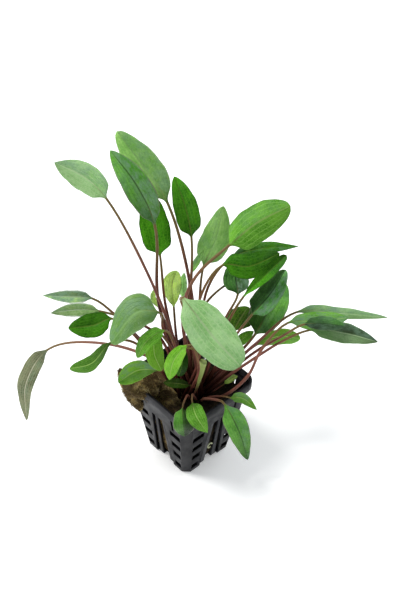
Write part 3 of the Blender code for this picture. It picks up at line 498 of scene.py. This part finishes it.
     "blade": [(-16.5, -8, 97.5), (-21.5, -7.5, 101), (-23.5, -4.5, 104)], "width": 3, "roll": -20,
     "sharp": (0.55, 0.5), "skew": 0.95, "stalk": 0.5,
     "tone": "yellowing", "halvesToneAndPaintedShade": (2.5, 2.3), "ends": (1.2, 1.35), "bloomAndPaintedSheen": (0.4, 0)},
    {"name": "leaf_41", "foot": (-2.5, 2.5), "knees": [(-9, 6, 101)],
     "blade": [(-11, 9, 114), (-12, 14, 119), (-12, 19, 125)], "width": 3.5, "roll": 25,
     "sharp": (0.8, 0.8), "skew": 0.9, "stalk": 0.5,
     "tone": "sage", "halvesToneAndPaintedShade": (2.6, 2.1), "ends": (1.6, 0.7), "bloomAndPaintedSheen": (0.6, 0.2)},
    {"name": "leaf_42", "foot": (-4.5, -5), "knees": [(-12, -18, 71), (-34, -34, 76)],
     "blade": [(-58, -51, 65), (-61.5, -65.5, 45.5), (-57, -71, 23)], "width": 10.5, "roll": -15,
     "sharp": (0.6, 0.65), "skew": 0.8, "stalk": 0.6,
     "tone": "wilted", "halvesToneAndPaintedShade": (0.8, 0.85), "ends": (0.8, 1.2), "bloomAndPaintedSheen": (0.3, 0.2), "blush": 0.8},
    {"name": "leaf_43", "foot": (-1, -7), "knees": [(-15, -27, 86)],
     "blade": [(-20, -36.5, 88), (-25.5, -46, 75), (-34.5, -54, 69.5)], "width": 8.5, "roll": -30,
     "sharp": (0.5, 0.6), "skew": 1.15, "stalk": 0.6,
     "tone": "fresh", "halvesToneAndPaintedShade": (0.6, 0.6), "ends": (0.6, 1.15), "bloomAndPaintedSheen": (0.05, 0)},
]


def leafFrames(leaf):
    knees = [np.array(k, dtype=float) for k in leaf["knees"]]
    foot = np.array([leaf["foot"][0], leaf["foot"][1], leafShape["footZ"]], dtype=float)
    neck, belly, tip = [np.array(p, dtype=float) for p in leaf["blade"]]
    steps = 24
    curve = smoothCurve([foot, *knees, neck, belly, tip], steps)
    split = (len(knees) + 1) * steps
    petiole = spread(curve[:split + 1], np.linspace(0, 1, leafShape["petioleRings"]))
    shares = np.linspace(0, 1, leafShape["bladeRings"] + 1)[1:]
    shares = shares ** 1.15
    blade = spread(curve[split:], shares)
    petiole[0] -= unit(petiole[1] - petiole[0]) * leafShape["sunk"]
    line = np.concatenate([petiole, blade])
    ahead = tangents(line)
    axis = unit(tip - neck)
    level = unit(np.array([axis[1], -axis[0], 0.0]))
    turn = np.array(Matrix.Rotation(math.radians(leaf["roll"]), 3, Vector(axis)))
    bladeSide = turn @ level
    sides = np.zeros_like(line)
    first = len(petiole)
    for i in range(first, len(line)):
        sides[i] = unit(bladeSide - ahead[i] * (bladeSide @ ahead[i]))
    side = sides[first]
    for i in range(first - 1, -1, -1):
        side = unit(side - ahead[i] * (side @ ahead[i]))
        sides[i] = side
    return line, sides, np.cross(sides, ahead), shares


leafFields = ("along", "stalk", "across", "toneAndPaintedShade", "bloomAndPaintedSheen", "under", "blush", "sideways", "lengthways", "own")


def growLeaf(leaf, seed):
    rng = random.Random(seed)
    line, sides, ups, shares = leafFrames(leaf)
    top = np.array(topStations)
    across = np.concatenate([top, top[-2:0:-1]])
    face = np.concatenate([np.ones(len(top)), -np.ones(len(top) - 2)])
    around = len(across)
    angle = math.pi - np.arange(around) * 2 * math.pi / around
    phases = [rng.uniform(0, 2 * math.pi) for _ in range(4)]
    wave = leaf.get("wave", leafShape["wave"])
    cup = leaf.get("cup", leafShape["cup"])
    petioleRings = leafShape["petioleRings"]
    points = []
    values = {name: [] for name in leafFields}
    reachedLength = np.concatenate([[0], np.cumsum(np.linalg.norm(np.diff(line, axis=0), axis=1))])
    for i, (centre, side, up) in enumerate(zip(line, sides, ups)):
        if i < petioleRings:
            share = i / (petioleRings - 1)
            radius = leaf["stalk"] + leafShape["swell"] * (1 - share ** 1.5)
            radius *= 1 + 0.03 * math.sin(share * 23 + phases[0])
            flat = 0.92
            x = np.cos(angle) * radius
            z = np.sin(angle) * radius * flat
            along = np.full(around, -0.1)
            stalk = np.full(around, share)
        else:
            s = shares[i - petioleRings]
            skewed = s ** leaf["skew"]
            closing = leaf["sharp"][0] + (leaf["sharp"][1] - leaf["sharp"][0]) * s
            half = leaf["width"] / 2 * max(math.sin(math.pi * min(skewed, 0.9999)), 0.0) ** closing
            ragged = 1 + leafShape["ragged"] * (2 * np.sin(19 * s + phases[1] + across) + np.sin(41 * s + phases[2] - across * 2))
            opened = min(s / 0.16, 1.0)
            opened = opened * opened * (3 - 2 * opened)
            reach = max(half, 0.12) * ragged
            thick = leafShape["thickness"] * np.sqrt(np.clip(1 - across ** 6, 0, 1)) * min(1.0, (1.02 - s) * 12)
            lift = cup * np.abs(across) + leafShape["bulge"] * np.sin(math.pi * np.abs(across))
            ripple = wave * across ** 2 * math.sin(math.pi * s) ** 0.5
            ripple = ripple * np.sin(2 * math.pi * leafShape["waves"] * s + phases[3] + np.sign(across) * 1.1)
            middle = np.exp(-(across * half / 0.45) ** 2) * (1 - s) ** 0.6
            ribbed = np.where(face > 0, -leafShape["groove"] * middle, -leafShape["rib"] * middle)
            flatX = across * reach
            flatZ = lift * half + ripple + face * thick + ribbed
            x = np.cos(angle) * leaf["stalk"] * (1 - opened) + flatX * opened
            z = np.sin(angle) * leaf["stalk"] * 0.92 * (1 - opened) + flatZ * opened
            along = np.full(around, s)
            stalk = np.full(around, 1.0)
        ring = centre + np.outer(x, side) + np.outer(z, up)
        points.append(ring * mm)
        rightward = 0.5 + 0.5 * np.tanh(across * 8)
        # painted light and shade: brightness of the left and right halves and from base to tip, mixed with the leaf's
        # own tone
        ends = leaf["ends"][0] + (leaf["ends"][1] - leaf["ends"][0]) * np.clip(along, 0, 1)
        values["along"].append(along)
        values["stalk"].append(stalk)
        values["across"].append(across if i >= petioleRings else np.cos(angle) * 0.4)
        values["toneAndPaintedShade"].append((leaf["halvesToneAndPaintedShade"][0] * (1 - rightward) + leaf["halvesToneAndPaintedShade"][1] * rightward) * ends)
        # waxy bloom with painted sheen, amount per half
        values["bloomAndPaintedSheen"].append(leaf["bloomAndPaintedSheen"][0] * (1 - rightward) + leaf["bloomAndPaintedSheen"][1] * rightward)
        values["under"].append(np.where((face < 0) & (np.abs(across) < 0.99), 1.0, 0.0))
        values["blush"].append(np.full(around, leaf.get("blush", 0.0)))
        values["sideways"].append(x)
        values["lengthways"].append(np.full(around, reachedLength[i]))
        values["own"].append(np.full(around, seed * 7.3) + (face < 0) * 3)
    faces = joinedRings(len(points), around)
    piece = meshFrom(leaf["name"] + "_look", np.concatenate(points), faces, [leafMaterials[leaf["tone"]]])
    for name, given in values.items():
        addFloats(piece, name, np.concatenate(given))
    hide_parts(leaf["name"])
    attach(piece, "root")
    return piece


for number, leaf in enumerate(leaves):
    growLeaf(leaf, 40 + number)
print("leaves grown", len(leaves))


# young leaf and root tip
def makeTube(name, centres, radii, around, material, flutes=0.0):
    ahead = tangents(centres)
    side = np.array([1.0, 0.0, 0.0])
    angle = np.arange(around) * 2 * math.pi / around
    points = []
    for centre, direction, radius in zip(centres, ahead, radii):
        side = unit(side - direction * (side @ direction))
        up = np.cross(side, direction)
        size = radius * (1 + flutes * np.cos(angle * 2))
        points.append((centre + np.outer(np.cos(angle) * size, side) + np.outer(np.sin(angle) * size, up)) * mm)
    return meshFrom(name, np.concatenate(points), joinedRings(len(centres), around)[::1], [material])


def makePaleMaterial(name, low, high, roughness):
    material, tree, shader = newMaterial(name)
    place = objectPlace(tree)
    streak = noiseNode(tree, place, 300, stretch=(1.0, 1.0, 0.2))
    height = addNode(tree, "ShaderNodeSeparateXYZ")
    plug(tree, place, height.inputs[0])
    rise = rangeNode(tree, height.outputs[2], low["z"] * mm, high["z"] * mm)
    colour = mixNode(tree, rise, (*low["colour"], 1), (*high["colour"], 1))
    colour = mixNode(tree, 0.35, colour, mixNode(tree, streak, (0.5, 0.5, 0.5, 1), (1.3, 1.3, 1.3, 1)), "MULTIPLY")
    plug(tree, colour, shader.inputs["Base Color"])
    shader.inputs["Roughness"].default_value = roughness
    plug(tree, bumpNode(tree, streak, 0.3, 0.0001), shader.inputs["Normal"])
    return material


youngLeaf = {
    "line": [(6, -3, 45), (10, -4, 56), (12, -3.5, 67), (13, -3, 77)], "radii": [0.5, 0.55, 0.8, 1.4, 1.95],
    "low": {"z": 50, "colour": (0.30, 0.12, 0.08)}, "high": {"z": 64, "colour": (0.36, 0.46, 0.13)},
}
paleGreen = makePaleMaterial("young_leaf", youngLeaf["low"], youngLeaf["high"], 0.42)
shares = np.linspace(0, 1, 28)
line = spread(smoothCurve(youngLeaf["line"], 12), shares)
radii = np.interp(shares, np.linspace(0, 1, 5), youngLeaf["radii"])
youngPiece = makeTube("young_leaf_look", line, radii, 24, paleGreen, 0.04)
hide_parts("young_leaf")
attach(youngPiece, "root")

rootTip = {"centre": (18, -0.2, 13), "curl": 1.6, "radius": 0.45, "turn": math.radians(300),
           "low": {"z": 10, "colour": (0.42, 0.44, 0.22)}, "high": {"z": 16, "colour": (0.62, 0.66, 0.42)}}
rootMaterial = makePaleMaterial("root", rootTip["low"], rootTip["high"], 0.5)
turns = np.linspace(0, rootTip["turn"], 40)
line = np.array(rootTip["centre"]) + rootTip["curl"] * np.stack([turns * 0, np.cos(turns), np.sin(turns)], axis=1)
radii = rootTip["radius"] * np.clip(np.sin(np.linspace(0.25, 3.0, 40)) * 3, 0.35, 1.0)
rootPiece = makeTube("root_tip_look", line, radii, 16, rootMaterial)
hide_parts("root_tip")
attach(rootPiece, "root")
print("young leaf and root tip made")


# rock wool
# the shaded and sunny limits (mm) bound painted shade: the wool darkens to near-black towards +X and +Y, where it
# lies in shade
wool = {"voxel": 0.9 * mm, "lumps": 0.7, "fibres": 3200, "fibreLength": (2.5, 7.0), "fibreRadius": 0.11,
        "shaded": 2.0, "sunny": -12.0}


def makeWoolMaterial(name, dark, brown, ochre):
    material, tree, shader = newMaterial(name)
    place = objectPlace(tree)
    where = addNode(tree, "ShaderNodeSeparateXYZ")
    plug(tree, place, where.inputs[0])
    # painted shade: a slope across the wool, roughened by noise, turns the colour from brown and ochre to near-black
    # towards +X and +Y
    slope = mathNode(tree, "ADD", mathNode(tree, "MULTIPLY", where.outputs[0], 0.85), mathNode(tree, "MULTIPLY", where.outputs[1], 0.5))
    uneven = mathNode(tree, "MULTIPLY", mathNode(tree, "SUBTRACT", noiseNode(tree, place, 140, 3.0), 0.5), 0.022)
    sunny = rangeNode(tree, mathNode(tree, "ADD", slope, uneven), wool["shaded"] * mm, wool["sunny"] * mm)
    patch = rangeNode(tree, noiseNode(tree, place, 110, 4.0, 0.65), 0.42, 0.60)
    bright = rangeNode(tree, noiseNode(tree, place, 210, 3.0, 0.6), 0.44, 0.62)
    worn = mixNode(tree, patch, (*brown, 1), (*ochre, 1))
    worn = mixNode(tree, mathNode(tree, "MULTIPLY", bright, 0.75), (*brown, 1), worn)
    colour = mixNode(tree, mathNode(tree, "MULTIPLY", patch, 0.25), (*dark, 1), (*brown, 1))
    colour = mixNode(tree, sunny, colour, worn)
    plug(tree, colour, shader.inputs["Base Color"])
    shader.inputs["Roughness"].default_value = 0.85
    shader.inputs["Specular IOR Level"].default_value = 0.15
    plug(tree, bumpNode(tree, noiseNode(tree, place, 900, 4.0), 0.6, 0.0003), shader.inputs["Normal"])
    return material


# the first colour of each wool material is the near-black of painted shade
woolBase = makeWoolMaterial("rock_wool", (0.008, 0.005, 0.003), (0.060, 0.038, 0.013), (0.42, 0.30, 0.11))
woolFibre = makeWoolMaterial("rock_wool_fibre", (0.020, 0.013, 0.007), (0.170, 0.120, 0.048), (0.72, 0.60, 0.34))


def copyNode(name, newName):
    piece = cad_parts[name].copy()
    piece.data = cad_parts[name].data.copy()
    piece.name = newName
    piece.data.name = newName
    for key in list(piece.keys()):
        del piece[key]
    bpy.context.collection.objects.link(piece)
    return piece


def bakeModifiers(piece):
    graph = bpy.context.evaluated_depsgraph_get()
    mesh = bpy.data.meshes.new_from_object(piece.evaluated_get(graph))
    piece.modifiers.clear()
    piece.data = mesh


woolBody = copyNode("rock_wool", "rock_wool_look")
remesh = woolBody.modifiers.new("even", "REMESH")
remesh.mode = "VOXEL"
remesh.voxel_size = wool["voxel"]
remesh.use_smooth_shade = True
bakeModifiers(woolBody)
woolBody.data.materials.clear()
woolBody.data.materials.append(woolBase)
for vertex in woolBody.data.vertices:
    lump = noise.noise(vertex.co * 260) + 0.6 * noise.noise(vertex.co * 700)
    vertex.co += vertex.normal * (lump - 0.25) * wool["lumps"] * mm
woolBody.data.update()
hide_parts("rock_wool")
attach(woolBody, "root")


def growFibres(count, seed):
    rng = random.Random(seed)
    mesh = woolBody.data
    faces = [p for p in mesh.polygons if p.center.z > 4 * mm]
    points, faceList = [], []
    for _ in range(count):
        face = rng.choice(faces)
        up = np.array(face.normal)
        start = np.array(face.center) / mm
        flat = unit(np.cross(up, [rng.gauss(0, 1), rng.gauss(0, 1), rng.gauss(0, 1)]))
        length = rng.uniform(*wool["fibreLength"])
        rise = rng.uniform(0.05, 0.35)
        bend = unit(np.cross(up, flat)) * rng.uniform(-0.35, 0.35)
        radius = wool["fibreRadius"] * rng.uniform(0.6, 1.3)
        side = np.cross(flat, up)
        base = len(points)
        steps = 6
        for step in range(steps):
            s = step / (steps - 1)
            centre = start + flat * length * (s - 0.5) + bend * length * (s - 0.5) ** 2 * 2
            centre = centre + up * (rise * math.sin(math.pi * s) * 2.2 - 0.25)
            for corner in range(3):
                turn = corner * 2 * math.pi / 3
                points.append((centre + side * math.cos(turn) * radius + up * math.sin(turn) * radius) * mm)
        for step in range(steps - 1):
            for corner in range(3):
                a = base + step * 3 + corner
                b = base + step * 3 + (corner + 1) % 3
                faceList.append((a, b, b + 3, a + 3))
        faceList.append((base, base + 1, base + 2))
        end = base + (steps - 1) * 3
        faceList.append((end + 2, end + 1, end))
    return points, faceList


fibrePoints, fibreFaces = growFibres(wool["fibres"], 7)
woolFibres = meshFrom("rock_wool_fibres", fibrePoints, fibreFaces, [woolFibre])
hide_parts("rock_wool")
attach(woolFibres, "root")
print("rock wool made", len(woolBody.data.vertices), len(fibreFaces))


# pot
# the pale grey after the specular level is a painted sheen on faces turned towards -Y and on the lip band; the edge
# grey is wear on rubbed edges
pot = {"bevel": 0.22 * mm, "segments": 2, "specular": 0.10, "paintedSheen": (0.050, 0.051, 0.057), "edge": (0.09, 0.09, 0.10)}


def makePotMaterial():
    material, tree, shader = newMaterial("pot_plastic")
    place = objectPlace(tree)
    geometry = addNode(tree, "ShaderNodeNewGeometry")
    dirt = useGroup(tree, grime, place=place, scale=70.0)
    colour = mixNode(tree, dirt.outputs["film"], (0.0035, 0.0035, 0.0050, 1), (0.0085, 0.0085, 0.0110, 1))
    facing = addNode(tree, "ShaderNodeSeparateXYZ")
    plug(tree, geometry.outputs["True Normal"], facing.inputs[0])
    # painted sheen: faces turned towards -Y, in streaky patches and most on the lip band, are made pale grey in place
    # of the reflection they catch
    paintedSheenMask = rangeNode(tree, mathNode(tree, "MULTIPLY", facing.outputs[1], -1.0), 0.80, 0.97)
    patchy = rangeNode(tree, noiseNode(tree, place, 95, 4.0, 0.6), 0.40, 0.60)
    high = addNode(tree, "ShaderNodeSeparateXYZ")
    plug(tree, place, high.inputs[0])
    onLip = rangeNode(tree, high.outputs[2], 48.4 * mm, 49.4 * mm, 0.55, 1.9)
    paintedSheenMask = mathNode(tree, "MULTIPLY", mathNode(tree, "MULTIPLY", paintedSheenMask, patchy), onLip, clamp=True)
    colour = mixNode(tree, paintedSheenMask, colour, (*pot["paintedSheen"], 1))
    colour = mixNode(tree, mathNode(tree, "MULTIPLY", dirt.outputs["spots"], 0.25), colour, (0.06, 0.05, 0.04, 1))
    wear = rangeNode(tree, geometry.outputs["Pointiness"], 0.52, 0.60)
    colour = mixNode(tree, mathNode(tree, "MULTIPLY", wear, 0.5), colour, (*pot["edge"], 1))
    plug(tree, colour, shader.inputs["Base Color"])
    rough = rangeNode(tree, noiseNode(tree, place, 130), 0.3, 0.7, 0.30, 0.46)
    plug(tree, rough, shader.inputs["Roughness"])
    shader.inputs["Specular IOR Level"].default_value = pot["specular"]
    grain = noiseNode(tree, place, 1500, 2.0)
    plug(tree, bumpNode(tree, grain, 0.18, 0.0001), shader.inputs["Normal"])
    return material


potPiece = copyNode("pot", "pot_look")
bm = bmesh.new()
bm.from_mesh(potPiece.data)
bmesh.ops.remove_doubles(bm, verts=bm.verts, dist=0.00001)
bmesh.ops.dissolve_limit(bm, angle_limit=math.radians(1), verts=bm.verts, edges=bm.edges)
bm.to_mesh(potPiece.data)
bm.free()
potPiece.data.polygons.foreach_set("use_smooth", [True] * len(potPiece.data.polygons))
potPiece.data.materials.clear()
potPiece.data.materials.append(makePotMaterial())
bevel = potPiece.modifiers.new("edges", "BEVEL")
bevel.width = pot["bevel"]
bevel.segments = pot["segments"]
bevel.limit_method = "ANGLE"
bevel.angle_limit = math.radians(30)
bevel.harden_normals = True
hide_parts("pot")
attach(potPiece, "root")
print("pot made")


# floor, light, camera
studio = {"world": 0.42}
floorMesh = bpy.data.meshes.new("floor")
floorMesh.from_pydata([(-3, -3, 0), (3, -3, 0), (3, 3, 0), (-3, 3, 0)], [], [(0, 1, 2, 3)])
floor = bpy.data.objects.new("floor", floorMesh)
floor.location = (0, 0, -0.0003)
bpy.context.collection.objects.link(floor)
floorMaterial, floorTree, floorShader = newMaterial("floor")
floorShader.inputs["Base Color"].default_value = (0.97, 0.97, 0.97, 1)
floorShader.inputs["Roughness"].default_value = 0.9
floorShader.inputs["Specular IOR Level"].default_value = 0.0
floorShader.inputs["Emission Color"].default_value = (1, 1, 1, 1)
floorShader.inputs["Emission Strength"].default_value = 0.25
floorMesh.materials.append(floorMaterial)

world = bpy.data.worlds.new("studio")
world.use_nodes = True
world.node_tree.nodes["Background"].inputs[0].default_value = (0.93, 0.96, 1.0, 1)
world.node_tree.nodes["Background"].inputs[1].default_value = studio["world"]
bpy.context.scene.world = world


def addSun(name, toward, strength, angle, colour=(1, 1, 1)):
    data = bpy.data.lights.new(name, "SUN")
    data.energy = strength
    data.angle = math.radians(angle)
    data.color = colour
    lamp = bpy.data.objects.new(name, data)
    lamp.rotation_euler = Vector(toward).to_track_quat("Z", "Y").to_euler()
    bpy.context.collection.objects.link(lamp)


addSun("key", (-0.45, -0.35, 1.0), 2.7, 22, (1.0, 0.99, 0.97))
addSun("back", (0.1, 0.8, 0.9), 0.9, 40, (0.94, 0.97, 1.0))

photoView = {"aim": (3.02, 3.13, 108.74), "distance": 450, "elevation": 40.5, "azimuth": -44, "roll": 2,
             "lens": 53.38, "sensor": 36}


def placeCamera():
    el, az, roll = [math.radians(photoView[key]) for key in ("elevation", "azimuth", "roll")]
    forward = -Vector((math.cos(el) * math.cos(az), math.cos(el) * math.sin(az), math.sin(el)))
    right = forward.cross(Vector((0, 0, 1))).normalized()
    up = right.cross(forward)
    turnedRight = right * math.cos(roll) + up * math.sin(roll)
    turnedUp = up * math.cos(roll) - right * math.sin(roll)
    data = bpy.data.cameras.new("camera")
    data.sensor_fit = "VERTICAL"
    data.sensor_height = photoView["sensor"]
    data.lens = photoView["lens"]
    data.clip_start, data.clip_end = 0.01, 20
    camera = bpy.data.objects.new("camera", data)
    place = (Vector(photoView["aim"]) - forward * photoView["distance"]) * mm
    turned = Matrix((turnedRight, turnedUp, -forward)).transposed().to_4x4()
    camera.matrix_world = Matrix.Translation(place) @ turned
    bpy.context.collection.objects.link(camera)
    bpy.context.scene.camera = camera


placeCamera()
bpy.context.scene.view_settings.view_transform = "Standard"
bpy.context.scene.view_settings.look = "None"
print("stage set")
